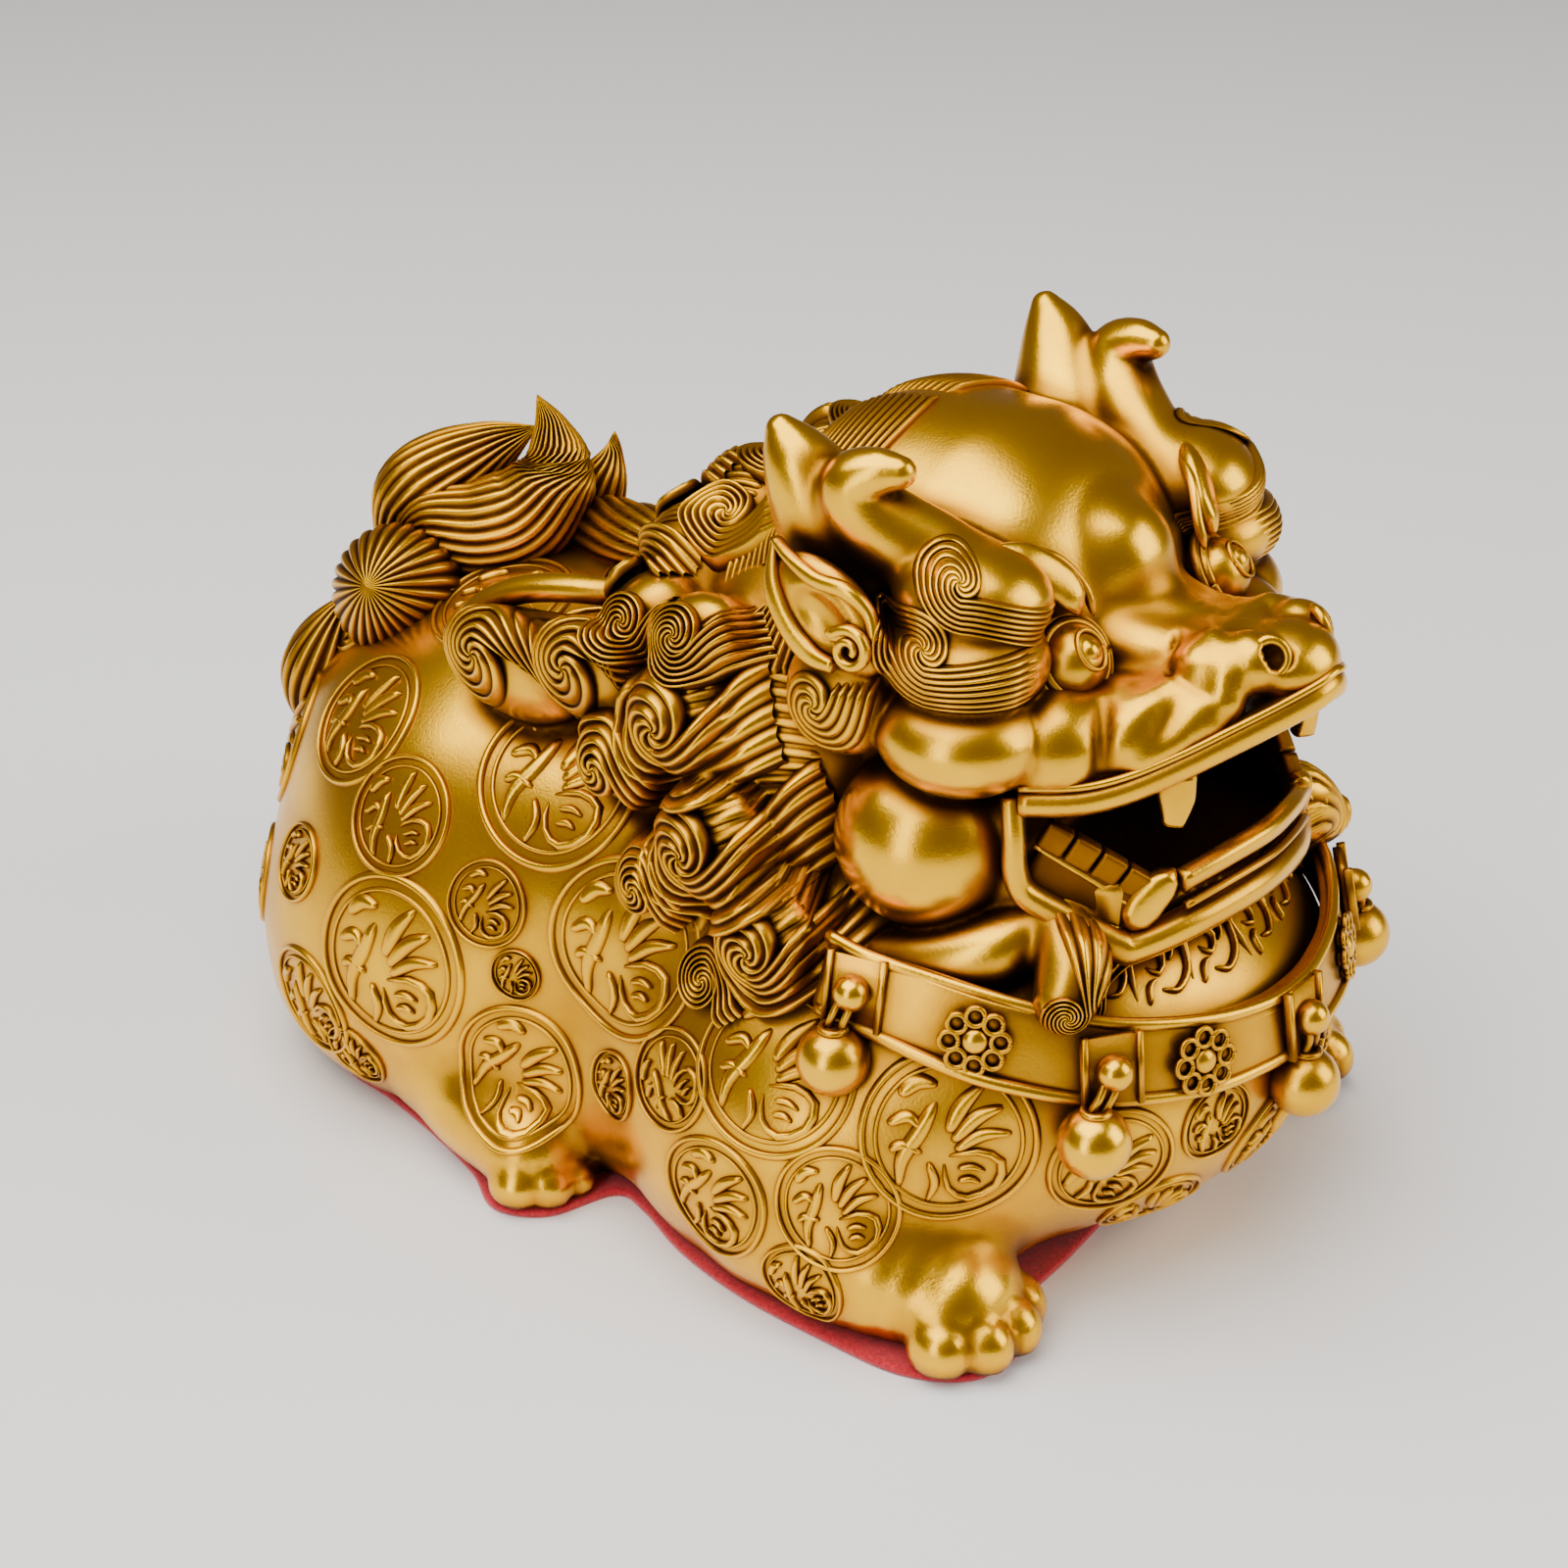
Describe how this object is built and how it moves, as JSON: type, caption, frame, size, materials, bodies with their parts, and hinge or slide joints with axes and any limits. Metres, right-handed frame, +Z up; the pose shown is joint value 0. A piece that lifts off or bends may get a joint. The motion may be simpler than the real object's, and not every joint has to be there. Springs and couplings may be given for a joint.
{
  "type": "pixiu figure",
  "caption": "Crouching pixiu with curled mane, horns, bushy tail and belled collar, covered in round medallions, cast brass on a red felt pad.",
  "frame": {"origin": "middle of the underside of the felt pad's bounding box, on the surface it stands on", "axes": "-Y is the way the beast looks, +X its left side, +Z up"},
  "size_m": [0.1435, 0.2174, 0.1464],
  "materials": {
    "antique_brass": "cast, satin polish with brown antiquing in the recesses",
    "red_felt": "pressed felt, matt"
  },
  "bodies": {
    "root": {"pixiu_figure": "antique_brass", "felt_pad": "red_felt"}
  },
  "joints": []
}
